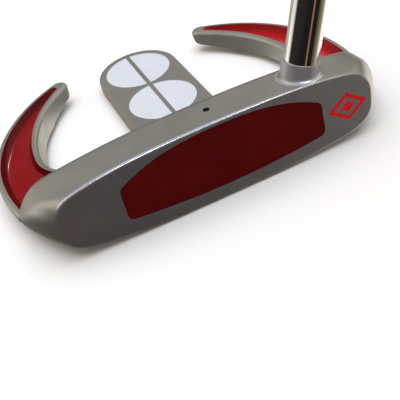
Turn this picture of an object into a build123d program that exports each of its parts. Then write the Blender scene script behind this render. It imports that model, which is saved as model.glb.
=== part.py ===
"""Mallet putter, right-handed, millimetres.

Frame: +Z up, the ball leaves along -Y, the heel and the golfer are on the +X side.
The origin is on the ground, in the middle of the flat strip of the sole.
"""

import math
import os

from build123d import *

# ---------------------------------------------------------------- driving dimensions
CLUB_LENGTH = 864.0  # along the shaft axis, ground to the end of the grip
LIE_DEG = 73.0
LOFT_DEG = 3.6

# head in plan
FACE_Y = -44.3  # face plane at ground level
OUTLINE_Y = -8.0  # where the outline is widest
HALF_WIDTH = 57.0
TOE_ARC_R = 66.0  # outline from the widest point forward to the face, toe side
HEEL_ARC_R = 57.0  # the same on the heel side, which is rounder
REAR_ARC_R = 52.5  # outline from the widest point back to the wing tip
INNER_ARC_X = -5.0  # centre of the wing's inner edge, for the heel wing
INNER_ARC_Y = -2.5
INNER_ARC_R = 47.5
WING_TIP_R = 2.7
WING_FOOT_TIP_R = 3.65
WING_FRONT_Y = -28.0  # wings run forward into the body as far as this
WING_FRONT_R = 6.0  # round corner there, hidden in the body
GAP_CORNER_R = 12.0  # round corner of the gap, where the wing meets the body
FLANK_DRAFT = 2.1  # the wing's inner flank leans this far out at its foot
OUTER_DRAFT = 0.9
WING_EDGE_R = 1.3

# body, the thick front part of the head
BODY_HALF = 54.2
BODY_STEPS = 11  # loft sections on each side of the middle
FACE_SPARE = 4.2  # the body is made this much longer, then milled flat
BEND_POWER = 16  # how tightly the front bends into the outline's arc
CROWN_BACK_Y = -29.5
WALL_FOOT_Y = -20.0  # foot of the sloping back wall
BODY_LIFT = 1.2  # how far the underside is lifted off the sole at the two ends

# heights
CROWN_TOP = 23.45
CROWN_DROP_X = 42.0  # the crown falls steeply from here to its ends
CROWN_DROP = 7.6
CROWN_FALL = 0.8  # crown lower at its back edge than at the face
FACE_EDGE_R = 0.7
WING_TOP = 7.4
TANG_TOP = 5.1

# sole: a flat strip in the middle, rounded up to toe and heel
SOLE_FLAT_HALF = 8.0
SOLE_ARC_R = 212.0
SOLE_SPARE = 0.5  # the body is made this much deeper, then trimmed by the sole
WING_RELIEF_Y = -4.0  # behind this the wings' undersides curve up to their tips
WING_RELIEF_END_Y = 41.0
WING_RELIEF_Z = 5.0

# tang and its alignment discs
TANG_HALF = 13.6
TANG_EDGE_R = 1.1
DISC_R = 11.0
DISC_FRONT_Y = 6.6
DISC_GAP = 1.5
DISC_LINE_W = 1.3
DISC_DEPTH = 0.8
ENAMEL_DROP = 0.12  # enamel surface below the metal around it

# red trays in the wings
TRAY_FLOOR_Z = 4.6
TRAY_WALL_SKIN = 0.15
TRAY_FLOOR_SKIN = 0.4
TRAY_RIM_OUTER = 1.9
TRAY_RIM_INNER = 1.5
TRAY_TIP_R = 1.35
TRAY_FLOOR_R = 0.7

# face insert
INSERT_HALF = 29.1
INSERT_BOTTOM_Z = 6.0  # at its two ends
INSERT_BOW = 1.9  # the foot is this much lower in the middle
INSERT_CORNER_Z = 15.6
INSERT_SHOULDER_X = 17.0
INSERT_SHOULDER_Z = 20.4
INSERT_TOP_Z = 22.0
INSERT_DEPTH = 3.6
INSERT_GLUE = 0.25
INSERT_GAP = 0.15
INSERT_CORNER_R = 2.0

# badge on the heel end of the face, and the sight dot on the crown
BADGE_X = 36.6
BADGE_Z = 11.4
BADGE_W = 12.2
BADGE_H = 8.4
BADGE_CORE = 0.38  # size of the middle lozenge, as a share of the outer one
BADGE_INSIDE = 0.68  # size of the ring's opening, as a share of the outer one
BADGE_DEPTH = 0.5
SIGHT_DOT_R = 0.95
SIGHT_DOT_Y = -35.9
SIGHT_DOT_DEPTH = 1.1

# hosel: a collar, and a spigot that goes up inside the shaft
HOSEL_X = 27.0
HOSEL_Y = -36.5
HOSEL_Z = 22.1
COLLAR_R = 5.15
COLLAR_HEIGHT = 4.2
COLLAR_ROOT = 9.0
COLLAR_FILLET = 1.0
COLLAR_RIM_R = 0.3
SPIGOT_R = 4.05
SPIGOT_LENGTH = 27.0
SPIGOT_TIP = 1.0

# shaft
SHAFT_TIP_R = 4.7
SHAFT_BUTT_R = 7.35
SHAFT_WALL = 0.5
SHAFT_STEPS = 14
TIP_SECTION = 222.0
STEP_PITCH = 24.0
STEP_CONE = 1.6

# grip
GRIP_LENGTH = 267.0
CAP_THICKNESS = 3.2
TAPE_THICKNESS = 0.2
VENT_R = 1.5

# ---------------------------------------------------------------- worked-out values
LIE = math.radians(LIE_DEG)
LOFT = math.radians(LOFT_DEG)
AXIS = Vector(math.cos(LIE), 0, math.sin(LIE))
GROUND_TO_HOSEL = HOSEL_Z / math.sin(LIE)
AXIS_FOOT = Vector(HOSEL_X, HOSEL_Y, HOSEL_Z) - AXIS * GROUND_TO_HOSEL
SHAFT_START = GROUND_TO_HOSEL + COLLAR_HEIGHT
SHAFT_END = CLUB_LENGTH - CAP_THICKNESS
GRIP_START = CLUB_LENGTH - GRIP_LENGTH
SHAFT_BORE_R = SHAFT_TIP_R - SHAFT_WALL
DISC_REAR_Y = DISC_FRONT_Y + 2 * DISC_R + DISC_GAP
OUTER_ARC_X = HALF_WIDTH - REAR_ARC_R
GAP_CORNER_X = INNER_ARC_X + INNER_ARC_R - GAP_CORNER_R
GAP_FRONT_Y = INNER_ARC_Y - GAP_CORNER_R


def along_shaft(distance):
    """Plane square to the shaft axis, this far from the ground; its X points to the toe side."""
    toe_side = Vector(-math.sin(LIE), 0, math.cos(LIE))
    return Plane(origin=AXIS_FOOT + AXIS * distance, x_dir=toe_side, z_dir=AXIS)


FACE_UP = Vector(0, math.sin(LOFT), math.cos(LOFT))
FACE_PLANE = Plane(origin=(0, FACE_Y, 0), x_dir=(1, 0, 0), z_dir=Vector(1, 0, 0).cross(FACE_UP))
SHAFT_SIDE = Plane(origin=AXIS_FOOT, x_dir=(-math.sin(LIE), 0, math.cos(LIE)), z_dir=(0, 1, 0))


def flip(shape):
    """The same shape on the toe side."""
    return mirror(shape, about=Plane.YZ)


# ---------------------------------------------------------------- head: plan outlines
def crossing(radius_a, centre_a, radius_b, centre_b):
    """The rearward point where two circles cross."""
    gap = centre_b - centre_a
    base = (radius_a**2 - radius_b**2 + gap.length**2) / (2 * gap.length)
    height = math.sqrt(radius_a**2 - base**2)
    along = gap.normalized()
    across = Vector(-along.Y, along.X)
    if across.Y < 0:
        across = -across
    return centre_a + along * base + across * height


def on_circle(centre, radius, y):
    """The point of a circle at this y, on its +X side."""
    return Vector(centre.X + math.sqrt(radius**2 - (y - centre.Y) ** 2), y)


def wing_face(front_arc_r, outer_inset, inner_inset, tip_r):
    """Plan of a wing, drawn on the heel side and run forward into the body.

    The insets move the outer and the inner edge: inwards is positive for the outer edge,
    and away from the tang is positive for the inner edge.
    """
    outer_c = Vector(OUTER_ARC_X, OUTLINE_Y)
    inner_c = Vector(INNER_ARC_X, INNER_ARC_Y)
    outer_r = REAR_ARC_R - outer_inset
    inner_r = INNER_ARC_R + inner_inset
    front_c = Vector(HALF_WIDTH - front_arc_r, OUTLINE_Y)
    front_r = front_arc_r - outer_inset
    front_y = WING_FRONT_Y
    corner_r = GAP_CORNER_R + inner_inset
    tip = crossing(outer_r, outer_c, inner_r, inner_c)
    widest = Vector(OUTER_ARC_X + outer_r, OUTLINE_Y)
    outer_mid_y = (OUTLINE_Y + tip.Y) / 2
    outer_mid = on_circle(outer_c, outer_r, outer_mid_y)
    inner_end = Vector(INNER_ARC_X + inner_r, INNER_ARC_Y)
    inner_mid_y = (INNER_ARC_Y + tip.Y) / 2
    inner_mid = on_circle(inner_c, inner_r, inner_mid_y)
    corner_mid = Vector(GAP_CORNER_X, INNER_ARC_Y) + Vector(1, -1) * (corner_r * math.sqrt(0.5))
    corner_end = Vector(GAP_CORNER_X, INNER_ARC_Y - corner_r)
    front_mid_y = (OUTLINE_Y + front_y) / 2
    front_mid = on_circle(front_c, front_r, front_mid_y)
    front_end = on_circle(front_c, front_r, front_y)
    inside = Vector(0, corner_end.Y)
    edges = [
        ThreePointArc(front_end, front_mid, widest),
        ThreePointArc(widest, outer_mid, tip),
        ThreePointArc(tip, inner_mid, inner_end),
        ThreePointArc(inner_end, corner_mid, corner_end),
        Line(corner_end, inside),
        Line(inside, Vector(0, front_y)),
        Line(Vector(0, front_y), front_end),
    ]
    sketch = make_face(edges)
    sketch = fillet(sketch.vertices().sort_by(Axis.Y)[-1], tip_r)
    hidden_corner = sketch.vertices().group_by(Axis.Y)[0].sort_by(Axis.X)[-1]
    return fillet(hidden_corner, WING_FRONT_R)


def tang_face(inset=0.0):
    """Plan of the tang: straight sides and a round end about the rear disc."""
    half = TANG_HALF - inset
    length = DISC_REAR_Y - WING_FRONT_Y
    strip = Pos(0, DISC_REAR_Y - length / 2) * Rectangle(2 * half, length)
    return strip + Pos(0, DISC_REAR_Y) * Circle(half)


# ---------------------------------------------------------------- head: body
def sole_z(x):
    """Height of the sole at a distance x from the middle."""
    out = max(0, abs(x) - SOLE_FLAT_HALF)
    return SOLE_ARC_R - math.sqrt(SOLE_ARC_R**2 - out**2)


def below_sole():
    """Everything under the sole, to trim the head with."""
    far = HALF_WIDTH + 5
    deep = -10
    flat_end = (SOLE_FLAT_HALF, 0)
    middle = (SOLE_FLAT_HALF + far) / 2
    right = [
        Line((0, 0), flat_end),
        ThreePointArc(flat_end, (middle, sole_z(middle)), (far, sole_z(far))),
        Line((far, sole_z(far)), (far, deep)),
    ]
    left = [mirror(edge, about=Plane.YZ) for edge in right]
    profile = make_face(right + left + [Line((far, deep), (-far, deep))])
    return extrude(Plane.XZ * profile, amount=80, both=True)


def outward(x):
    """0 in the middle of the body and 1 at its two ends."""
    return abs(x) / BODY_HALF


def crown_z(x):
    """Height of the crown's front edge: a slight arch that drops away at both ends."""
    drop = max(0, abs(x) - CROWN_DROP_X) / (BODY_HALF - CROWN_DROP_X)
    return CROWN_TOP - 2.3 * outward(x) ** 2 - 6.1 * outward(x) ** 4 - CROWN_DROP * drop**3.2


def front_y(x, front_arc_r):
    """Front of the body: straight along the face, bending into the outline's arc at the ends."""
    arc = math.sqrt(front_arc_r**2 - (abs(x) - HALF_WIDTH + front_arc_r) ** 2) - OUTLINE_Y
    straight = FACE_SPARE - FACE_Y
    return -((arc**-BEND_POWER + straight**-BEND_POWER) ** (-1 / BEND_POWER))


def body_section(x, front_arc_r):
    """Upright section of the body at x, a four-sided shape with round corners."""
    front = front_y(x, front_arc_r)
    back = CROWN_BACK_Y + 7.0 * outward(x) ** 6
    foot = WALL_FOOT_Y - 1.4 * outward(x) ** 8
    top = crown_z(x)
    bottom = sole_z(x) - SOLE_SPARE + BODY_LIFT * outward(x) ** 4
    width = back - front
    height = top - bottom
    radii = [
        min(8.5, 0.4 * height),
        min(4.0 + 3.0 * outward(x) ** 3, 0.45 * width, 0.4 * height),
        min(3.0, 0.28 * width),
        min(0.6, 0.15 * height),
    ]
    corners = [(front, bottom), (front, top), (back, top - CROWN_FALL), (foot, bottom)]
    sketch = make_face(Polyline(*corners, close=True))
    for corner, radius in zip(corners, radii):
        nearest = min(sketch.vertices(), key=lambda vertex: (Vector(vertex) - Vector(*corner)).length)
        sketch = fillet(nearest, radius)
    return Plane.YZ.offset(x) * sketch


def body_blank():
    """The body before the face is milled flat, lofted through sections closer at its ends."""
    sections = []
    for step in range(-BODY_STEPS, BODY_STEPS + 1):
        x = BODY_HALF * math.sin(math.pi / 2 * step / BODY_STEPS)
        sections.append(body_section(x, HEEL_ARC_R if step > 0 else TOE_ARC_R))
    return loft(sections)


def milled_off():
    """Everything in front of the face plane."""
    return extrude(FACE_PLANE * Rectangle(200, 120), amount=30)


def milled_body():
    """The body with its flat face, and the face's edge eased."""
    body = body_blank() - milled_off()
    face = body.faces().filter_by(GeomType.PLANE).sort_by(Axis.Y)[0]
    return fillet(face.edges(), FACE_EDGE_R)


def under_wing_tips():
    """Everything under the curve that lifts the wings' tips off the ground."""
    run = WING_RELIEF_END_Y - WING_RELIEF_Y
    radius = (run**2 + WING_RELIEF_Z**2) / (2 * WING_RELIEF_Z)
    middle_y = WING_RELIEF_Y + run / 2
    middle_z = radius - math.sqrt(radius**2 - (run / 2) ** 2)
    start, end = (WING_RELIEF_Y, 0), (WING_RELIEF_END_Y, WING_RELIEF_Z)
    below = Polyline(end, (end[0], -10), (start[0], -10), start)
    profile = make_face([ThreePointArc(start, (middle_y, middle_z), end)] + below.edges())
    return extrude(Plane.YZ * profile, amount=HALF_WIDTH + 5, both=True)


def wing_blank(front_arc_r):
    """A wing on the heel side, with leaning flanks and the rim's edges eased."""
    top = Pos(0, 0, WING_TOP) * wing_face(front_arc_r, 0, 0, WING_TIP_R)
    foot = wing_face(front_arc_r, OUTER_DRAFT, -FLANK_DRAFT, WING_FOOT_TIP_R)
    wing = loft([foot, top], ruled=True)
    rim = wing.edges().filter_by(Plane.XY.offset(WING_TOP)).filter_by(GeomType.CIRCLE)
    return fillet(rim, WING_EDGE_R) - under_wing_tips()


def tang_blank():
    """Tang with an eased top edge."""
    tang = extrude(tang_face(), amount=TANG_TOP)
    top = tang.edges().filter_by(Plane.XY.offset(TANG_TOP))
    rim = top.filter_by(lambda edge: edge.center().Y > WING_FRONT_Y + 1)
    return fillet(rim, TANG_EDGE_R)


def off_axis(point):
    """Distance of a point from the shaft axis."""
    arm = Vector(point) - AXIS_FOOT
    return (arm - AXIS * arm.dot(AXIS)).length


def is_round_axis(edge, radius):
    """Whether an edge runs round the shaft axis at this radius."""
    return all(abs(off_axis(edge.position_at(share)) - radius) < 0.02 for share in (0, 0.3, 0.6))


def add_hosel(head):
    """Collar round the foot of the shaft, blended into the crown, with the spigot on top of it."""
    root = along_shaft(GROUND_TO_HOSEL - COLLAR_ROOT)
    head = head + root * extrude(Circle(COLLAR_R), amount=COLLAR_ROOT + COLLAR_HEIGHT)
    on_collar = [edge for edge in head.edges() if is_round_axis(edge, COLLAR_R)]
    joint = min(on_collar, key=lambda edge: edge.position_at(0.5).Z)
    head = fillet(joint, COLLAR_FILLET)
    spigot = along_shaft(SHAFT_START - 1) * extrude(Circle(SPIGOT_R), amount=SPIGOT_LENGTH + 1)
    end = spigot.edges().sort_by(Axis.Z)[-1]
    return head + chamfer(end, SPIGOT_TIP)


# ---------------------------------------------------------------- pockets and what fills them
def tray_pocket(front_arc_r, wall_skin=0.0, floor_skin=0.0):
    """Space of a tray, heel side; the skins shrink it all round and lift its floor."""
    outer_inset = TRAY_RIM_OUTER + wall_skin
    inner_inset = TRAY_RIM_INNER + wall_skin
    plan = wing_face(front_arc_r, outer_inset, inner_inset, TRAY_TIP_R - wall_skin)
    start = TRAY_FLOOR_Z + floor_skin
    pocket = extrude(Pos(0, 0, start) * plan, amount=WING_TOP + 5 - start)
    web = Pos(GAP_CORNER_X - 50, INNER_ARC_Y - 50, 0) * Box(100, 100, 60)
    return pocket - web


def dished_pocket(front_arc_r):
    """Open space inside a tray, with a round corner along its floor."""
    space = tray_pocket(front_arc_r, TRAY_WALL_SKIN, TRAY_FLOOR_SKIN)
    floor = space.edges().filter_by(Plane.XY.offset(TRAY_FLOOR_Z + TRAY_FLOOR_SKIN))
    return fillet(floor.filter_by(GeomType.CIRCLE), TRAY_FLOOR_R)


def disc_half(disc_y, side):
    """Pocket of half a disc; side is +1 for the heel half."""
    half = Pos(side * (DISC_LINE_W / 2 + DISC_R), 0) * Rectangle(2 * DISC_R, 4 * DISC_R)
    plan = Pos(0, disc_y) * (Circle(DISC_R) & half)
    return extrude(Pos(0, 0, TANG_TOP - DISC_DEPTH) * plan, amount=DISC_DEPTH + 1)


def insert_outline(inset=0.0):
    """Outline of the insert on the face plane: straight ends, bowed foot, arched top."""
    foot = (INSERT_BOTTOM_Z + inset) / math.cos(LOFT)
    half = INSERT_HALF - inset
    shoulder = (INSERT_SHOULDER_Z - inset) / math.cos(LOFT)
    corner = (INSERT_CORNER_Z - inset) / math.cos(LOFT)
    top = (INSERT_TOP_Z - inset) / math.cos(LOFT)
    heel_side = [(half, corner), (INSERT_SHOULDER_X, shoulder)]
    toe_side = [(-INSERT_SHOULDER_X, shoulder), (-half, corner)]
    arch = Spline(*heel_side, (0, top), *toe_side)
    toe_end = Line((-half, corner), (-half, foot))
    heel_end = Line((half, foot), (half, corner))
    bow = ThreePointArc((-half, foot), (0, foot - INSERT_BOW), (half, foot))
    sketch = make_face([arch, toe_end, bow, heel_end])
    return fillet(sketch.vertices(), INSERT_CORNER_R - inset)


def on_face(sketch, depth, start=0.0):
    """A sketch on the face, as a solid that goes depth into the head from start below the face."""
    return extrude(FACE_PLANE.offset(-start) * sketch, amount=-depth)


def lozenge(scale):
    """A lozenge with round corners, centred where the badge sits."""
    half_w = BADGE_W / 2 * scale
    half_h = BADGE_H / 2 * scale
    plain = make_face(Polyline((half_w, 0), (0, half_h), (-half_w, 0), (0, -half_h), close=True))
    return Pos(BADGE_X, BADGE_Z) * fillet(plain.vertices(), 0.5 * scale)


def badge_ring():
    """The badge's outer band on the face plane."""
    return lozenge(1.0) - lozenge(BADGE_INSIDE)


def sight_dot_pocket():
    """Drilled dimple on the crown that holds the sight dot."""
    start = Pos(0, SIGHT_DOT_Y, CROWN_TOP - SIGHT_DOT_DEPTH)
    return start * extrude(Circle(SIGHT_DOT_R), amount=SIGHT_DOT_DEPTH + 1)


def head_casting():
    """The head in one piece, with every pocket cut."""
    body = milled_body()
    head = body + wing_blank(HEEL_ARC_R) + flip(wing_blank(TOE_ARC_R)) + tang_blank() - below_sole()
    head = add_hosel(head)
    head -= on_face(insert_outline(), INSERT_DEPTH + INSERT_GLUE)
    head -= on_face(badge_ring() + lozenge(BADGE_CORE), BADGE_DEPTH)
    head -= sight_dot_pocket()
    for disc_y in (DISC_FRONT_Y, DISC_REAR_Y):
        head -= disc_half(disc_y, 1) + disc_half(disc_y, -1)
    head -= tray_pocket(HEEL_ARC_R) - body
    return head - (flip(tray_pocket(TOE_ARC_R)) - body)


def wing_tray(front_arc_r):
    """Tray on the heel side: a thin skin over the pocket's floor and walls."""
    rim = Pos(0, 0, WING_TOP - ENAMEL_DROP + 10) * Box(200, 200, 20)
    return tray_pocket(front_arc_r) - dished_pocket(front_arc_r) - rim


def disc_enamel(disc_y, side):
    """White enamel in half a disc."""
    above = Pos(0, 0, TANG_TOP - ENAMEL_DROP + 5) * Box(100, 200, 10)
    return disc_half(disc_y, side) - above


def face_insert():
    """Soft insert, with a fine gap all round it."""
    return on_face(insert_outline(INSERT_GAP), INSERT_DEPTH)


def insert_glue():
    """Glue film behind the insert."""
    return on_face(insert_outline(INSERT_GAP), INSERT_GLUE, INSERT_DEPTH)


def sight_dot():
    """Enamel in the bottom of the sight dot's dimple."""
    start = Pos(0, SIGHT_DOT_Y, CROWN_TOP - SIGHT_DOT_DEPTH)
    return start * extrude(Circle(SIGHT_DOT_R), amount=SIGHT_DOT_DEPTH * 0.55)


# ---------------------------------------------------------------- shaft
def turned(profile):
    """A solid of revolution about the shaft axis, from (radius, distance from the ground) points."""
    sketch = SHAFT_SIDE * make_face(Polyline(*profile, close=True))
    return revolve(sketch, Axis(AXIS_FOOT, AXIS))


def shaft_steps(wall):
    """Points of the stepped tube, from the tip to the butt, at a depth below its outside."""
    rise = (SHAFT_BUTT_R - SHAFT_TIP_R) / SHAFT_STEPS
    points = [(SHAFT_TIP_R - wall, SHAFT_START)]
    for step in range(SHAFT_STEPS):
        foot = SHAFT_START + TIP_SECTION + step * STEP_PITCH
        radius = SHAFT_TIP_R - wall + step * rise
        points.append((radius, foot))
        points.append((radius + rise, foot + STEP_CONE))
    points.append((SHAFT_BUTT_R - wall, SHAFT_END))
    return points


def shaft():
    """Stepped steel tube with a parallel tip and a parallel butt."""
    return turned(shaft_steps(0) + list(reversed(shaft_steps(SHAFT_WALL))))


def tube(inner, outer, start, end):
    """Plain round tube along the shaft axis."""
    return turned([(inner, start), (outer, start), (outer, end), (inner, end)])


# ---------------------------------------------------------------- grip
# Stations along the shaft: distance from the grip's mouth, half width, reach of the flat front,
# reach of the back, radius of the front corners.
GRIP_STATIONS = [
    (0, 9.6, 9.2, 9.6, 7.5),
    (10, 10.6, 9.6, 10.6, 6.5),
    (70, 11.6, 9.9, 12.6, 5.5),
    (130, 11.8, 10.0, 13.6, 5.0),
    (185, 12.2, 10.2, 14.4, 5.0),
    (225, 13.2, 10.6, 18.0, 5.2),
    (250, 14.0, 11.0, 20.6, 5.5),
    (GRIP_LENGTH - CAP_THICKNESS, 14.2, 11.2, 20.9, 5.6),
]


def grip_section(half, front, back, corner_r):
    """Section of the grip: flat towards the toe side, round towards the golfer."""
    box = Pos((front - back) / 2, 0) * Rectangle(front + back, 2 * half)
    near = box.vertices().filter_by(lambda v: v.X > 0)
    box = fillet(near, corner_r)
    far = [v for v in box.vertices() if v.X < -back + 0.01]
    return fillet(far, half - 0.4)


def grip_sleeve():
    """Moulded rubber grip over the tape."""
    sections = [along_shaft(GRIP_START + s[0]) * grip_section(*s[1:]) for s in GRIP_STATIONS]
    bore = tube(0, SHAFT_BUTT_R + TAPE_THICKNESS, GRIP_START - 1, SHAFT_END + 1)
    return loft(sections) - bore


def grip_cap():
    """Hard cap that closes the butt of the grip, with its vent hole."""
    plan = grip_section(*GRIP_STATIONS[-1][1:])
    cap = along_shaft(SHAFT_END) * extrude(plan, amount=CAP_THICKNESS)
    edge = cap.edges().filter_by(along_shaft(CLUB_LENGTH))
    cap = fillet(edge, 1.2)
    return cap - tube(0, VENT_R, SHAFT_END - 1, CLUB_LENGTH + 1)


def parts():
    """Every piece, by node name."""
    body = milled_body()
    tape_r = SHAFT_BUTT_R + TAPE_THICKNESS
    return {
        "head_casting": head_casting(),
        "face_insert": face_insert(),
        "insert_glue": insert_glue(),
        "heel_wing_tray": wing_tray(HEEL_ARC_R) - body,
        "toe_wing_tray": flip(wing_tray(TOE_ARC_R)) - body,
        "front_disc_heel_half": disc_enamel(DISC_FRONT_Y, 1),
        "front_disc_toe_half": disc_enamel(DISC_FRONT_Y, -1),
        "rear_disc_heel_half": disc_enamel(DISC_REAR_Y, 1),
        "rear_disc_toe_half": disc_enamel(DISC_REAR_Y, -1),
        "sight_dot_enamel": sight_dot(),
        "badge_ring_enamel": on_face(badge_ring(), BADGE_DEPTH - ENAMEL_DROP, ENAMEL_DROP),
        "badge_core_enamel": on_face(lozenge(BADGE_CORE), BADGE_DEPTH - ENAMEL_DROP, ENAMEL_DROP),
        "hosel_epoxy": tube(SPIGOT_R, SHAFT_BORE_R, SHAFT_START, SHAFT_START + SPIGOT_LENGTH - SPIGOT_TIP),
        "shaft": shaft(),
        "grip_tape": tube(SHAFT_BUTT_R, tape_r, GRIP_START + 2, SHAFT_END),
        "grip_sleeve": grip_sleeve(),
        "grip_cap": grip_cap(),
    }


os.makedirs("parts", exist_ok=True)
for name, solid in parts().items():
    export_step(solid, f"parts/{name}.step")
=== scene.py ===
"""Looks of the mallet putter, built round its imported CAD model.

Metres, in the row frame: +Z up, the face looks along -Y, the heel is on +X, the ground is z = 0.
"""

import math

import bmesh
import bpy
from mathutils import Matrix, Vector


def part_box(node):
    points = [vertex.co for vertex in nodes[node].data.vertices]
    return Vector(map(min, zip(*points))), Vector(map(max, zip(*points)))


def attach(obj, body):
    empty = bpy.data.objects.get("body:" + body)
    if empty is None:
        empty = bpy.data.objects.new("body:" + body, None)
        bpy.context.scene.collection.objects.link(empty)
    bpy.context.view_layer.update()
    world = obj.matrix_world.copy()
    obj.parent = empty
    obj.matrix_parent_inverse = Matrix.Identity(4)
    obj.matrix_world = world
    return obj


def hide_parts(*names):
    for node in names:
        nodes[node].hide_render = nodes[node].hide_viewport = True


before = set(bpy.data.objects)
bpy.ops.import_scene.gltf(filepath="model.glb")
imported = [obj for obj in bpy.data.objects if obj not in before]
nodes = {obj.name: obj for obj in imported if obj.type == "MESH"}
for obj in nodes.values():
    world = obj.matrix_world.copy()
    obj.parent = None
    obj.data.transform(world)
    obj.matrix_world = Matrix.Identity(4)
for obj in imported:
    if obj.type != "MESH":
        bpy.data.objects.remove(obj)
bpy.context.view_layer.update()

# ---------------------------------------------------------------- driving values
LIE = math.radians(73.0)
LOFT = math.radians(3.6)
FACE_NORMAL = (0.0, -math.cos(LOFT), math.sin(LOFT))
FACE_FOOT = 0.0443  # how far in front of the origin the face plane meets the ground
FACE_OFFSET = FACE_FOOT * math.cos(LOFT)  # the face plane from the origin, along its normal

# painted highlight on the rounded edge of the face: a lighter colour and a lower roughness
EDGE_DEPTH = 0.0008
HIGHLIGHT_WAY = (0.35, 0.0, 0.94)  # the painted highlight goes on the part of the edge that looks this way
HIGHLIGHT_FADE_START = -0.005  # the painted highlight fades out between these two, towards the heel
HIGHLIGHT_FADE_END = 0.028

CAMERA_POINT = Vector((-0.048303, -0.193111, 0.126464))
CAMERA_AZIMUTH = math.radians(14.4615)
CAMERA_ELEVATION = math.radians(38.7443)
CAMERA_ROLL = math.radians(14.9556)
CAMERA_LENS = 67.41
SENSOR = 36.0

FLOOR_HALF = 12.0

# the wings' plan: arcs about these points, drawn for the heel wing
OUTLINE_Y = -0.008
HALF_WIDTH = 0.057
REAR_ARC_R = 0.0525
FRONT_ARC_R = {"heel": 0.057, "toe": 0.066}
INNER_ARC = Vector((-0.005, -0.0025))
INNER_ARC_R = 0.0475
GAP_CORNER_R = 0.012

# trays in the wings
TRAY_RIM_OUTER = 0.00192
TRAY_RIM_INNER = 0.00152
TRAY_TIP_R = 0.00133
TRAY_FRONT_Y = -0.0245  # hidden inside the body
TRAY_UNDERSIDE_Z = 0.00462
TRAY_FLOOR_Z = 0.00505
TRAY_RIM_Z = 0.0073
TRAY_WALL_OUTER = 0.0025  # how far the sloping walls reach in over the floor
TRAY_WALL_INNER = 0.0015
TRAY_COVE = 1.7  # 1 is a straight wall, more is a deeper cove
TRAY_TIP_TAPER = 0.8  # how much of its radius the tip loses from the rim to the floor
TRAY_SHADE_HEIGHT = 0.0009  # the painted shade up the walls is full this far above the floor
TRAY_LOOPS = 10
TRAY_FRONT_STEPS = 14
TRAY_SIDE_STEPS = 50
TRAY_TIP_STEPS = 8
TRAY_CORNER_STEPS = 16

# discs on the tang
DISC_R = 0.011
DISC_LINE_W = 0.0013
DISC_CLEARANCE = 0.00001
DISC_ARC_STEPS = 40
# The enamel's skin from its edge inwards: inset as a share of the disc's radius, drop below the edge.
DISC_SKIN = [(0.0, 0.0), (0.012, 0.00006), (0.035, 0.0001), (0.08, 0.00012)]

# shaft and grip
AXIS = Vector((math.cos(LIE), 0.0, math.sin(LIE)))
AXIS_FOOT = Vector((0.020243, -0.0365, 0.0))
CLUB_LENGTH = 0.864
CAP_THICKNESS = 0.0032
GRIP_LENGTH = 0.267
GRIP_BORE_R = 0.00757
GRIP_BORE_DEPTH = 0.012  # the mesh goes this far up the bore
GRIP_BACK_EASE = 0.0004  # half width of the narrow flat down the middle of the back
# Stations along the grip: distance from its mouth, half width, reach of the flat front, reach
# of the back, radius of the front corners.
GRIP_STATIONS = [
    (0.000, 0.0096, 0.0092, 0.0096, 0.0075),
    (0.010, 0.0106, 0.0096, 0.0106, 0.0065),
    (0.070, 0.0116, 0.0099, 0.0126, 0.0055),
    (0.130, 0.0118, 0.0100, 0.0136, 0.0050),
    (0.185, 0.0122, 0.0102, 0.0144, 0.0050),
    (0.225, 0.0132, 0.0106, 0.0180, 0.0052),
    (0.250, 0.0140, 0.0110, 0.0206, 0.0055),
    (GRIP_LENGTH - CAP_THICKNESS, 0.0142, 0.0112, 0.0209, 0.0056),
]
GRIP_ROW = 0.0009  # spacing of the mesh rows along the grip
GRIP_FLAT_STEPS = 16
GRIP_CORNER_STEPS = 8
GRIP_BACK_STEPS = 10
# The rolled lip at the mouth: distance from the mouth, size as a share of the full outline.
GRIP_LIP = [(0.0006, 0.99), (0.0002, 0.96), (0.0, 0.91)]
GROOVE_PITCH = 0.0060
GROOVE_DEPTH = 0.0007
GROOVE_SLANT = 0.8  # how far a groove runs along the grip as it runs out to the side
GROOVE_LAND = 0.2  # how much of the wave is cut off to leave lands between the grooves
GROOVE_RUN_OUT = 4  # how quickly a groove deepens from the side of the flat
GROOVE_MARGIN = 0.02  # no groove nearer the side than this share of the flat
GROOVE_START = 0.022
GROOVE_END = 0.236

# distances from the shaft's axis
COLLAR_R = 0.0053
COLLAR_SKIRT_R = 0.0060
ROOT_INNER = (0.0052, 0.0054)  # the painted highlight ring at the collar's root comes in between these
ROOT_OUTER = (0.0060, 0.0063)  # and goes out between these

MILL_PITCH = 0.00062
MILL_WAYS = ((0.75, 0.0, 0.66), (0.55, 0.0, -0.83))


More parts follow.
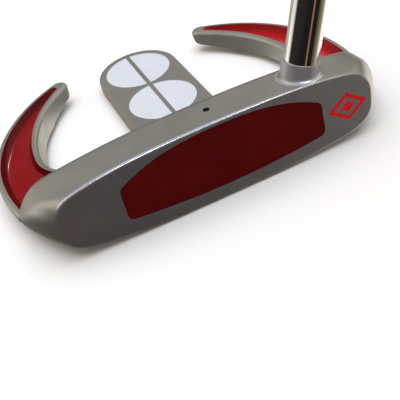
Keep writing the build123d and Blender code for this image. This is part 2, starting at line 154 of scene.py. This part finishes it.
# ---------------------------------------------------------------- node helpers
class Nodes:
    """A node tree, with short ways to add the nodes used here."""

    def __init__(self, tree):
        self.tree = tree

    def add(self, kind, **settings):
        node = self.tree.nodes.new(kind)
        for key, value in settings.items():
            setattr(node, key, value)
        return node

    def link(self, source, target):
        self.tree.links.new(source, target)

    def fill(self, socket, value):
        """Gives a socket a number, a colour or another node's output."""
        if isinstance(value, (int, float)):
            socket.default_value = value
        elif isinstance(value, tuple):
            socket.default_value = (*value, 1.0)
        else:
            self.link(value, socket)

    def math(self, operation, first, second=0.0):
        node = self.add("ShaderNodeMath", operation=operation)
        self.fill(node.inputs[0], first)
        self.fill(node.inputs[1], second)
        return node.outputs[0]

    def span(self, value, low, high, to_low=0.0, to_high=1.0):
        """Value taken smoothly from low..high to to_low..to_high."""
        node = self.add("ShaderNodeMapRange", interpolation_type="SMOOTHSTEP")
        self.link(value, node.inputs["Value"])
        for name, number in (("From Min", low), ("From Max", high), ("To Min", to_low), ("To Max", to_high)):
            node.inputs[name].default_value = number
        return node.outputs["Result"]

    def mix(self, share, first, second):
        """Colour between first and second."""
        node = self.add("ShaderNodeMix", data_type="RGBA")
        self.link(share, node.inputs[0])
        self.fill(node.inputs[6], first)
        self.fill(node.inputs[7], second)
        return node.outputs[2]

    def part(self, vector, axis):
        """One coordinate of a vector."""
        node = self.add("ShaderNodeSeparateXYZ")
        self.link(vector, node.inputs[0])
        return node.outputs["XYZ".index(axis)]


class Shader(Nodes):
    """A material, with the patterns and measures that the materials here share."""

    def __init__(self, name):
        self.material = bpy.data.materials.new(name)
        self.material.use_nodes = True
        super().__init__(self.material.node_tree)
        self.surface = self.tree.nodes["Principled BSDF"]
        self.place = self.tree.nodes.new("ShaderNodeTexCoord").outputs["Object"]

    def set(self, **values):
        """Plain values on the shader's own sockets."""
        for key, value in values.items():
            self.surface.inputs[key.replace("_", " ")].default_value = value

    def noise(self, scale, detail=2.0):
        node = self.add("ShaderNodeTexNoise")
        node.inputs["Scale"].default_value = scale
        node.inputs["Detail"].default_value = detail
        self.link(self.place, node.inputs["Vector"])
        return node.outputs["Fac"]

    def along(self, vector, direction):
        """Length of a vector along a direction."""
        node = self.add("ShaderNodeVectorMath", operation="DOT_PRODUCT")
        self.link(vector, node.inputs[0])
        node.inputs[1].default_value = direction
        return node.outputs["Value"]

    def mill_marks(self):
        """1 in the grooves of two crossed sets of fine slanting lines, 0 between them."""
        turns = 2 * math.pi / MILL_PITCH
        waves = []
        for direction in MILL_WAYS:
            waves.append(self.math("SINE", self.math("MULTIPLY", self.along(self.place, direction), turns)))
        return self.span(self.math("ADD", *waves), -0.6, 1.2)

    def off_shaft(self):
        """Distance from the shaft's axis."""
        arm = self.add("ShaderNodeVectorMath", operation="SUBTRACT")
        self.link(self.place, arm.inputs[0])
        arm.inputs[1].default_value = AXIS_FOOT
        across = self.add("ShaderNodeVectorMath", operation="CROSS_PRODUCT")
        self.link(arm.outputs[0], across.inputs[0])
        across.inputs[1].default_value = AXIS
        length = self.add("ShaderNodeVectorMath", operation="LENGTH")
        self.link(across.outputs[0], length.inputs[0])
        return length.outputs["Value"]

    def normal(self):
        return self.add("ShaderNodeNewGeometry").outputs["Normal"]

    def bump(self, height, distance, strength):
        node = self.add("ShaderNodeBump")
        node.inputs["Distance"].default_value = distance
        node.inputs["Strength"].default_value = strength
        self.link(height, node.inputs["Height"])
        self.link(node.outputs["Normal"], self.surface.inputs["Normal"])

    def color(self, value):
        self.link(value, self.surface.inputs["Base Color"])

    def rough(self, value):
        self.link(value, self.surface.inputs["Roughness"])


# ---------------------------------------------------------------- mesh helpers
def skin(name, loops, crease=35.0):
    """A closed piece stretched over loops of points, each loop with the same number of them."""
    mesh = bmesh.new()
    rings = [[mesh.verts.new(point) for point in loop] for loop in loops]
    for near, far in zip(rings, rings[1:]):
        for index in range(len(near)):
            after = (index + 1) % len(near)
            mesh.faces.new((near[index], near[after], far[after], far[index]))
    caps = [mesh.faces.new(rings[0]), mesh.faces.new(rings[-1])]
    bmesh.ops.triangulate(mesh, faces=caps)
    bmesh.ops.remove_doubles(mesh, verts=mesh.verts, dist=1e-7)
    bmesh.ops.recalc_face_normals(mesh, faces=mesh.faces)
    data = bpy.data.meshes.new(name)
    mesh.to_mesh(data)
    mesh.free()
    data.shade_smooth()
    data.set_sharp_from_angle(angle=math.radians(crease))
    piece = bpy.data.objects.new(name, data)
    bpy.context.scene.collection.objects.link(piece)
    return piece


def stand_in(piece, node, material):
    """Puts a detailed piece in place of a CAD node."""
    piece.data.materials.append(material)
    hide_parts(node)
    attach(piece, "root")


def arc(centre, radius, start, end, steps):
    """Points of an arc, with both ends."""
    angles = [start + (end - start) * step / steps for step in range(steps + 1)]
    return [centre + radius * Vector((math.cos(a), math.sin(a))) for a in angles]


def bearing(point, centre):
    """Direction of a point from a centre, as an angle."""
    return math.atan2(point.y - centre.y, point.x - centre.x)


def crossing(radius_a, centre_a, radius_b, centre_b):
    """The rearward point where two circles cross."""
    gap = centre_b - centre_a
    base = (radius_a**2 - radius_b**2 + gap.length**2) / (2 * gap.length)
    height = math.sqrt(radius_a**2 - base**2)
    along = gap.normalized()
    across = Vector((-along.y, along.x))
    if across.y < 0:
        across = -across
    return centre_a + along * base + across * height


# ---------------------------------------------------------------- trays
def tray_loop(front_arc_r, outer_inset, inner_inset, tip_r):
    """Plan of a tray for the heel wing, from its front outer corner round the tip and back."""
    outer_c = Vector((HALF_WIDTH - REAR_ARC_R, OUTLINE_Y))
    front_c = Vector((HALF_WIDTH - front_arc_r, OUTLINE_Y))
    corner_c = Vector((INNER_ARC.x + INNER_ARC_R - GAP_CORNER_R, INNER_ARC.y))
    outer_r = REAR_ARC_R - outer_inset
    inner_r = INNER_ARC_R + inner_inset
    front_r = front_arc_r - outer_inset
    corner_r = GAP_CORNER_R + inner_inset
    tip_c = crossing(outer_r - tip_r, outer_c, inner_r + tip_r, INNER_ARC)
    tip_start = bearing(tip_c, outer_c)
    tip_inner = bearing(tip_c, INNER_ARC)
    front_start = math.asin((TRAY_FRONT_Y - OUTLINE_Y) / front_r)
    front = arc(front_c, front_r, front_start, 0, TRAY_FRONT_STEPS)
    outer = arc(outer_c, outer_r, 0, tip_start, TRAY_SIDE_STEPS)
    tip = arc(tip_c, tip_r, tip_start, tip_inner + math.pi, TRAY_TIP_STEPS)
    inner = arc(INNER_ARC, inner_r, tip_inner, 0, TRAY_SIDE_STEPS)
    corner = arc(corner_c, corner_r, 0, -math.pi / 2, TRAY_CORNER_STEPS)
    end = Vector((corner_c.x, TRAY_FRONT_Y))
    return front + outer[1:] + tip[1:-1] + inner + corner[1:] + [end]


def tray(side):
    """A red tray: walls that sweep down in a cove to a flat floor."""
    rise = TRAY_RIM_Z - TRAY_FLOOR_Z
    levels = [(0.0, TRAY_UNDERSIDE_Z)]
    for step in range(TRAY_LOOPS + 1):
        reach = step / TRAY_LOOPS
        levels.append((reach, TRAY_FLOOR_Z + rise * (1 - reach) ** TRAY_COVE))
    mirrored = 1 if side == "heel" else -1
    loops = []
    for reach, z in levels:
        outer_inset = TRAY_RIM_OUTER + TRAY_WALL_OUTER * reach
        inner_inset = TRAY_RIM_INNER + TRAY_WALL_INNER * reach
        tip_r = TRAY_TIP_R * (1 - TRAY_TIP_TAPER * reach)
        plan = tray_loop(FRONT_ARC_R[side], outer_inset, inner_inset, tip_r)
        loops.append([(mirrored * point.x, point.y, z) for point in plan])
    return skin(side + "_tray_enamelled", loops)


# ---------------------------------------------------------------- discs
def disc_half(node):
    """Half a disc of white enamel, drawn up a little where it wets the metal round it."""
    low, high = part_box(node)
    side = 1 if high[0] > 0 else -1
    centre_y = (low[1] + high[1]) / 2
    top = high[2]
    bottom = low[2]
    levels = [(0.0, bottom)] + [(inset, top - drop) for inset, drop in DISC_SKIN]
    loops = []
    for inset, z in levels:
        radius = DISC_R * (1 - inset) - DISC_CLEARANCE
        flat = DISC_LINE_W / 2 + DISC_R * inset + DISC_CLEARANCE
        reach = math.acos(flat / radius)
        plan = arc(Vector((0, centre_y)), radius, -reach, reach, DISC_ARC_STEPS)
        loops.append([(side * point.x, point.y, z) for point in plan])
    return skin(node + "_enamelled", loops)


# ---------------------------------------------------------------- grip
def between(before, start, end, after, share):
    """Smooth curve from start to end that leaves and arrives in step with its neighbours."""
    leave = (end - before) / 2
    arrive = (after - start) / 2
    square = share * share
    cube = square * share
    return (
        (2 * cube - 3 * square + 1) * start
        + (cube - 2 * square + share) * leave
        + (3 * square - 2 * cube) * end
        + (cube - square) * arrive
    )


def grip_sizes(distance):
    """Half width, front reach, back reach and corner radius at a distance from the mouth."""
    last = len(GRIP_STATIONS) - 2
    place = max(index for index in range(last + 1) if GRIP_STATIONS[index][0] <= distance)
    near, far = GRIP_STATIONS[place], GRIP_STATIONS[place + 1]
    before, after = GRIP_STATIONS[max(place - 1, 0)], GRIP_STATIONS[min(place + 2, last + 1)]
    share = (distance - near[0]) / (far[0] - near[0])
    return [between(*values, share) for values in list(zip(before, near, far, after))[1:]]


def grip_outline(half, front, back, corner):
    """Section of the grip: x towards the flat front, y across."""
    round_r = half - GRIP_BACK_EASE
    flat_half = half - corner
    quarter = math.pi / 2
    sides = [flat_half * (2 * step / GRIP_FLAT_STEPS - 1) for step in range(1, GRIP_FLAT_STEPS)]
    points = [Vector((front, side)) for side in sides]
    front_x = front - corner
    back_x = round_r - back
    points += arc(Vector((front_x, flat_half)), corner, 0, quarter, GRIP_CORNER_STEPS)
    points += arc(Vector((back_x, half - round_r)), round_r, quarter, 2 * quarter, GRIP_BACK_STEPS)
    points += arc(Vector((back_x, round_r - half)), round_r, 2 * quarter, 3 * quarter, GRIP_BACK_STEPS)
    points += arc(Vector((front_x, -flat_half)), corner, 3 * quarter, 4 * quarter, GRIP_CORNER_STEPS)
    return points


def groove_depth(point, distance, front, flat_half):
    """How deep the moulded chevrons are at a point of the flat front."""
    edge = 1 - abs(point.y) / flat_half
    on_flat = edge > GROOVE_MARGIN and point.x >= front - 1e-6
    if not on_flat or not GROOVE_START < distance < GROOVE_END:
        return 0.0
    phase = (distance + GROOVE_SLANT * abs(point.y)) / GROOVE_PITCH
    wave = max(0.0, math.cos(2 * math.pi * phase) - GROOVE_LAND) / (1 - GROOVE_LAND)
    return GROOVE_DEPTH * wave * min(1.0, GROOVE_RUN_OUT * edge)


def grip_loop(distance):
    """Outline of the grip in space, with the grooves pressed in."""
    half, front, back, corner = grip_sizes(distance)
    loop = []
    for point in grip_outline(half, front, back, corner):
        depth = groove_depth(point, distance, front, half - corner)
        loop.append(on_shaft(distance, point.x - depth, point.y))
    return loop


def on_shaft(distance, towards_toe, across):
    """A point beside the shaft axis, at a distance from the grip's mouth."""
    toe_side = Vector((-math.sin(LIE), 0.0, math.cos(LIE)))
    along = CLUB_LENGTH - GRIP_LENGTH + distance
    return AXIS_FOOT + AXIS * along + toe_side * towards_toe + Vector((0.0, -across, 0.0))


def grip():
    """Moulded grip: chevron grooves down its flat front, and a rolled lip round its mouth."""
    length = GRIP_LENGTH - CAP_THICKNESS
    rows = round(length / GRIP_ROW)
    loops = [grip_loop(length * (1 - row / rows)) for row in range(rows)]
    mouth = grip_outline(*grip_sizes(0.0))
    for distance, spread in GRIP_LIP:
        loops.append([on_shaft(distance, spread * point.x, spread * point.y) for point in mouth])
    bore = [point.normalized() * GRIP_BORE_R for point in mouth]
    for distance in (0.0, GRIP_BORE_DEPTH):
        loops.append([on_shaft(distance, point.x, point.y) for point in bore])
    return skin("grip_moulded", loops, crease=50.0)


# ---------------------------------------------------------------- materials
def satin_steel():
    """Grey satin plating: smooth on the crown, darker and milled on the face, pale on the collar."""
    s = Shader("satin_steel")
    s.set(Metallic=0.85)
    mottle = s.span(s.noise(90.0, 3.0), 0.3, 0.7)
    plated = s.mix(mottle, (0.39, 0.385, 0.36), (0.44, 0.435, 0.41))

    # the flat face, with crossed mill marks that are deeper towards the heel; its colour lightens from toe
    # to heel, which is painted light
    facing = s.span(s.along(s.normal(), FACE_NORMAL), 0.994, 0.999)
    heelward = s.span(s.part(s.place, "X"), -0.045, 0.045)
    toe_tone = s.mix(mottle, (0.29, 0.29, 0.315), (0.33, 0.33, 0.355))
    milled = s.mix(heelward, toe_tone, (0.62, 0.59, 0.59))
    marks = s.mill_marks()
    groove = s.math("MULTIPLY", marks, s.span(heelward, 0.0, 1.0, 0.35, 0.75))
    milled = s.mix(groove, milled, (0.17, 0.17, 0.18))
    color = s.mix(facing, plated, milled)

    # the narrow rounded edge of the face, with a painted highlight along the top of its toe half: lighter
    # colour, lower roughness
    behind_face = s.math("SUBTRACT", s.along(s.place, FACE_NORMAL), FACE_OFFSET)
    edge = s.span(behind_face, -EDGE_DEPTH, -EDGE_DEPTH * 0.8)
    edge = s.math("MULTIPLY", edge, s.math("SUBTRACT", 1.0, facing))
    edge = s.math("MULTIPLY", edge, s.span(s.along(s.normal(), HIGHLIGHT_WAY), 0.3, 0.55))
    toe_half = s.span(s.part(s.place, "X"), HIGHLIGHT_FADE_START, HIGHLIGHT_FADE_END, 1.0, 0.0)
    edge = s.math("MULTIPLY", edge, toe_half)

    # the collar round the shaft's foot, and a painted highlight ring on the fillet at its root: lighter
    # colour, lower roughness
    out = s.off_shaft()
    root = s.math("SUBTRACT", s.span(out, *ROOT_INNER), s.span(out, *ROOT_OUTER))
    painted_highlight = s.math("MAXIMUM", edge, root)
    collar = s.span(out, COLLAR_SKIRT_R, COLLAR_R)
    color = s.mix(collar, color, (0.56, 0.55, 0.61))
    # the face's edge and the collar's root are lightened here: a painted highlight
    s.color(s.mix(painted_highlight, color, (0.66, 0.66, 0.69)))

    grain = s.span(s.noise(400.0, 2.0), 0.3, 0.7, 0.30, 0.38)
    grain = s.math("ADD", grain, s.math("MULTIPLY", collar, 0.08))
    s.rough(s.math("SUBTRACT", grain, s.math("MULTIPLY", painted_highlight, 0.12)))
    height = s.math("SUBTRACT", s.noise(2500.0), s.math("MULTIPLY", marks, facing))
    s.bump(height, 0.00003, 0.4)
    return s.material


def red_polymer():
    """Soft dark red insert, milled like the face round it."""
    s = Shader("insert_red")
    marks = s.mill_marks()
    clouds = s.span(s.noise(120.0, 3.0), 0.35, 0.65)
    tone = s.mix(clouds, (0.082, 0.0013, 0.0018), (0.098, 0.0019, 0.0024))
    s.color(s.mix(s.math("MULTIPLY", marks, 0.3), tone, (0.045, 0.0006, 0.001)))
    s.set(Specular_IOR_Level=0.03)
    s.rough(s.span(s.noise(600.0), 0.3, 0.7, 0.42, 0.5))
    s.bump(s.math("SUBTRACT", s.noise(3000.0), marks), 0.00002, 0.4)
    return s.material


def enamel(name, dark, light, coat, wall_shade=None):
    """Poured enamel: glossy, clouded a little, with an uneven skin; the last argument, if given, is painted
    shade: a darker colour up the walls.
    """
    s = Shader(name)
    s.set(Specular_IOR_Level=0.04)
    tone = s.mix(s.span(s.noise(150.0, 4.0), 0.3, 0.7), dark, light)
    if wall_shade:
        # darker up the tray walls: painted shade
        up_wall = s.span(s.part(s.place, "Z"), TRAY_FLOOR_Z, TRAY_FLOOR_Z + TRAY_SHADE_HEIGHT)
        tone = s.mix(up_wall, tone, wall_shade)
    s.color(tone)
    s.rough(s.span(s.noise(60.0), 0.3, 0.7, 0.16, 0.24))
    s.set(Coat_Weight=coat, Coat_Roughness=0.05)
    s.bump(s.noise(220.0, 2.0), 0.00003, 0.3)
    return s.material


def chrome():
    """Polished chrome plate with the faintest long ripple."""
    s = Shader("shaft_chrome")
    s.set(Metallic=1.0)
    s.color(s.mix(s.span(s.noise(60.0), 0.3, 0.7), (0.80, 0.80, 0.81), (0.86, 0.86, 0.87)))
    s.rough(s.span(s.noise(300.0, 3.0), 0.3, 0.7, 0.05, 0.08))
    s.bump(s.noise(35.0), 0.00002, 0.2)
    return s.material


def rubber(name, dark, light, roughness):
    """Moulded rubber with a fine matt skin."""
    s = Shader(name)
    s.color(s.mix(s.span(s.noise(300.0, 4.0), 0.3, 0.7), dark, light))
    s.rough(s.span(s.noise(900.0), 0.3, 0.7, roughness - 0.06, roughness + 0.06))
    s.set(Specular_IOR_Level=0.4)
    s.bump(s.noise(1800.0, 3.0), 0.00006, 0.5)
    return s.material


def dull(name, dark, light):
    """Hidden glue, epoxy and tape."""
    s = Shader(name)
    s.color(s.mix(s.noise(200.0, 3.0), dark, light))
    s.rough(s.span(s.noise(500.0), 0.3, 0.7, 0.6, 0.8))
    return s.material


def paint(names, material):
    """Gives CAD nodes their material."""
    for name in names:
        for slot in nodes[name].material_slots:
            slot.material = material


paint(["head_casting"], satin_steel())
paint(["face_insert"], red_polymer())
badge_red = enamel("badge_red", (0.62, 0.008, 0.012), (0.68, 0.01, 0.015), 0.3)
paint(["badge_ring_enamel", "badge_core_enamel"], badge_red)
paint(["sight_dot_enamel"], enamel("dot_black", (0.003, 0.003, 0.003), (0.005, 0.005, 0.005), 0.1))
paint(["shaft"], chrome())
paint(["grip_cap"], rubber("cap_rubber", (0.012, 0.012, 0.013), (0.018, 0.018, 0.019), 0.45))
paint(["insert_glue"], dull("glue", (0.3, 0.28, 0.22), (0.38, 0.36, 0.3)))
paint(["hosel_epoxy"], dull("epoxy", (0.26, 0.23, 0.17), (0.33, 0.3, 0.22)))
paint(["grip_tape"], dull("tape", (0.56, 0.5, 0.38), (0.66, 0.6, 0.47)))

grip_rubber = rubber("grip_rubber", (0.026, 0.026, 0.028), (0.040, 0.040, 0.042), 0.55)
stand_in(grip(), "grip_sleeve", grip_rubber)
# the heel tray's red and its wall colour are lighter copies of the toe tray's: lit and shaded copies of one
# enamel, painted light
heel_tray_lit_red = enamel("heel_tray_red_lit", (0.33, 0.003, 0.005), (0.39, 0.005, 0.008), 0.2, (0.26, 0.003, 0.005))
toe_tray_shaded_red = enamel("toe_tray_red_shaded", (0.20, 0.003, 0.005), (0.235, 0.005, 0.008), 0.16, (0.100, 0.002, 0.003))
trays = [tray("heel"), tray("toe")]
stand_in(trays[0], "heel_wing_tray", heel_tray_lit_red)
stand_in(trays[1], "toe_wing_tray", toe_tray_shaded_red)
disc_white = enamel("disc_white", (0.62, 0.66, 0.74), (0.65, 0.68, 0.76), 0.2)
for node in sorted(name for name in nodes if "_disc_" in name):
    stand_in(disc_half(node), node, disc_white)


# ---------------------------------------------------------------- stage, light, camera
def pale_floor():
    """Wide floor of pale paper, which the metal doesn't mirror."""
    mesh = bpy.data.meshes.new("floor")
    corners = [(x * FLOOR_HALF, y * FLOOR_HALF, 0.0) for x, y in ((-1, -1), (1, -1), (1, 1), (-1, 1))]
    mesh.from_pydata(corners, [], [(0, 1, 2, 3)])
    floor = bpy.data.objects.new("floor", mesh)
    bpy.context.scene.collection.objects.link(floor)
    s = Shader("floor_paper")
    s.color(s.mix(s.noise(3.0), (0.90, 0.90, 0.90), (0.92, 0.92, 0.92)))
    s.set(Roughness=0.9, Specular_IOR_Level=0.0)
    floor.data.materials.append(s.material)
    floor.visible_glossy = False


def soft_box(name, place, aim, size, watts, lit, color=(1, 1, 1), glossy=True):
    """A rectangular studio light at place, turned to the point aim, that lights only some objects."""
    data = bpy.data.lights.new(name, "AREA")
    data.shape = "RECTANGLE"
    data.size, data.size_y = size
    data.energy = watts
    data.color = color
    light = bpy.data.objects.new(name, data)
    light.location = place
    light.rotation_euler = (Vector(aim) - Vector(place)).to_track_quat("-Z", "Y").to_euler()
    light.visible_glossy = glossy
    light.visible_camera = False
    receivers = bpy.data.collections.new(name + "_receivers")
    for lit_object in lit:
        receivers.objects.link(lit_object)
    light.light_linking.receiver_collection = receivers
    bpy.context.scene.collection.objects.link(light)


def soft_sky(strength, spread):
    """Even light from overhead, too soft to cast a hard shadow."""
    data = bpy.data.lights.new("overhead", "SUN")
    data.energy = strength
    data.angle = spread
    light = bpy.data.objects.new("overhead", data)
    light.visible_glossy = False
    bpy.context.scene.collection.objects.link(light)


# Colours of the surroundings by share of a turn: 0 in front (-Y), 0.25 at the toe side (-X),
# 0.5 behind and 0.75 at the heel side (+X). First well below eye level: dark floor in front and
# at the toe side with one thin warm line in it, and a white card at the heel side.
LOW_RING = [
    (0.000, (0.012, 0.012, 0.014)),
    (0.007, (0.36, 0.17, 0.07)),
    (0.022, (0.36, 0.17, 0.07)),
    (0.032, (0.012, 0.012, 0.014)),
    (0.150, (0.020, 0.015, 0.012)),
    (0.360, (0.055, 0.040, 0.025)),
    (0.430, (0.42, 0.38, 0.30)),
    (0.560, (0.50, 0.46, 0.36)),
    (0.630, (1.25, 1.20, 1.10)),
    (0.760, (1.45, 1.41, 1.34)),
    (0.800, (0.60, 0.53, 0.40)),
    (0.830, (0.34, 0.28, 0.18)),
    (0.870, (0.21, 0.16, 0.09)),
    (0.905, (0.11, 0.09, 0.05)),
    (0.935, (0.012, 0.012, 0.014)),
]
# Just below eye level: black in front, a white card at the toe side behind, plain walls.
MIDDLE_RING = [
    (0.000, (0.012, 0.012, 0.014)),
    (0.007, (0.36, 0.17, 0.07)),
    (0.022, (0.36, 0.17, 0.07)),
    (0.032, (0.012, 0.012, 0.014)),
    (0.300, (0.014, 0.012, 0.012)),
    (0.340, (1.15, 1.11, 1.07)),
    (0.380, (1.15, 1.11, 1.06)),
    (0.410, (0.50, 0.46, 0.37)),
    (0.500, (0.42, 0.38, 0.30)),
    (0.600, (0.70, 0.64, 0.52)),
    (0.680, (1.50, 1.44, 1.32)),
    (0.790, (1.30, 1.22, 1.08)),
    (0.850, (0.40, 0.34, 0.26)),
    (0.930, (0.012, 0.012, 0.014)),
]
# Level with the object: the same black in front, and a dim band behind.
HORIZON_RING = [
    (0.000, (0.014, 0.014, 0.016)),
    (0.300, (0.030, 0.024, 0.018)),
    (0.340, (0.92, 0.86, 0.78)),
    (0.380, (0.92, 0.86, 0.77)),
    (0.410, (0.48, 0.44, 0.36)),
    (0.450, (0.075, 0.072, 0.066)),
    (0.660, (0.085, 0.080, 0.072)),
    (0.740, (0.60, 0.55, 0.47)),
    (0.850, (0.25, 0.22, 0.18)),
    (0.930, (0.014, 0.014, 0.016)),
]
# Above eye level, where the room is plain, and lighter behind the heel.
HIGH_RING = [
    (0.00, (0.16, 0.16, 0.18)),
    (0.20, (0.33, 0.28, 0.21)),
    (0.33, (1.32, 1.17, 0.94)),
    (0.40, (0.60, 0.56, 0.50)),
    (0.50, (0.33, 0.325, 0.30)),
    (0.56, (0.37, 0.36, 0.32)),
    (0.62, (0.85, 0.80, 0.68)),
    (0.75, (0.75, 0.70, 0.60)),
    (0.88, (0.30, 0.29, 0.28)),
]
# Each ring comes in over this range of height: -1 is straight down, 0 is level, 1 is straight up.
RINGS = [
    (LOW_RING, -0.97, -0.85),
    (MIDDLE_RING, -0.42, -0.24),
    (HORIZON_RING, -0.17, -0.08),
    (HIGH_RING, 0.16, 0.32),
]
OVERHEAD_RISE = (0.55, 0.82)
OVERHEAD = (0.52, 0.53, 0.56)
NADIR = (0.05, 0.045, 0.04)
BACKGROUND = (0.93, 0.93, 0.93)  # what the camera sees past the floor
LAVENDER = (0.90, 0.88, 1.0)


def ring(n, stops, share):
    """Colour by share of a turn, from a list of stops."""
    node = n.add("ShaderNodeValToRGB")
    elements = node.color_ramp.elements
    while len(elements) < len(stops):
        elements.new(0.5)
    for element, (position, color) in zip(elements, stops):
        element.position = position
        element.color = (*color, 1.0)
    n.link(share, node.inputs["Fac"])
    return node.outputs["Color"]


def studio_world():
    """Soft surroundings for the metal to mirror."""
    world = bpy.data.worlds.new("studio")
    world.use_nodes = True
    n = Nodes(world.node_tree)

    generated = n.add("ShaderNodeTexCoord").outputs["Generated"]
    turn = n.math("ARCTAN2", n.part(generated, "X"), n.part(generated, "Y"))
    share = n.add("ShaderNodeMapRange")
    share.inputs["From Min"].default_value = -math.pi
    share.inputs["From Max"].default_value = math.pi
    n.link(turn, share.inputs["Value"])
    height = n.part(generated, "Z")

    color = NADIR
    for stops, start, end in RINGS:
        color = n.mix(n.span(height, start, end), color, ring(n, stops, share.outputs["Result"]))
    color = n.mix(n.span(height, *OVERHEAD_RISE), color, OVERHEAD)
    seen = n.mix(n.add("ShaderNodeLightPath").outputs["Is Camera Ray"], color, BACKGROUND)
    n.link(seen, n.tree.nodes["Background"].inputs["Color"])
    bpy.context.scene.world = world


def camera():
    """The camera, at the photograph's viewing angle."""
    a, e, roll = CAMERA_AZIMUTH, CAMERA_ELEVATION, CAMERA_ROLL
    ahead = Vector((math.sin(a) * math.cos(e), math.cos(a) * math.cos(e), -math.sin(e)))
    level = Vector((math.cos(a), -math.sin(a), 0.0))
    upward = level.cross(ahead)
    right = math.cos(roll) * level - math.sin(roll) * upward
    up = math.sin(roll) * level + math.cos(roll) * upward
    data = bpy.data.cameras.new("camera")
    data.sensor_width = SENSOR
    data.lens = CAMERA_LENS
    data.clip_start = 0.01
    eye = bpy.data.objects.new("camera", data)
    turn = Matrix((right, up, -ahead)).transposed()
    eye.matrix_world = Matrix.Translation(CAMERA_POINT) @ turn.to_4x4()
    bpy.context.scene.collection.objects.link(eye)
    bpy.context.scene.camera = eye


pale_floor()
studio_world()
soft_sky(2.1, math.radians(70))
# Small cards and strips for the lit edges. They light only the head or the trays, so that the
# chrome shaft shows none of them.
head = [nodes["head_casting"]]
soft_box("face_edge_card", (0.0, -0.312, 0.315), (-0.02, -0.04, 0.02), (0.09, 0.04), 0.19, head, LAVENDER)
soft_box("collar_card", (0.17, -0.28, 0.30), (0.027, -0.037, 0.025), (0.05, 0.05), 0.24, head, LAVENDER)
soft_box("heel_card", (0.17, -0.22, 0.1), (0.03, -0.04, 0.01), (0.1, 0.1), 0.03, head, glossy=False)
soft_box("left_strip", (-0.45, 0.15, 0.70), (-0.04, 0.0, 0.006), (0.015, 0.20), 0.075, head + trays)
soft_box("right_strip", (0.50, 0.10, 0.70), (0.04, 0.0, 0.006), (0.015, 0.20), 0.075, head + trays)
soft_box("tray_strip", (0.270, 0.372, 0.252), (0.056, -0.006, 0.005), (0.008, 0.10), 0.35, trays)
camera()
bpy.context.scene.view_settings.view_transform = "Standard"
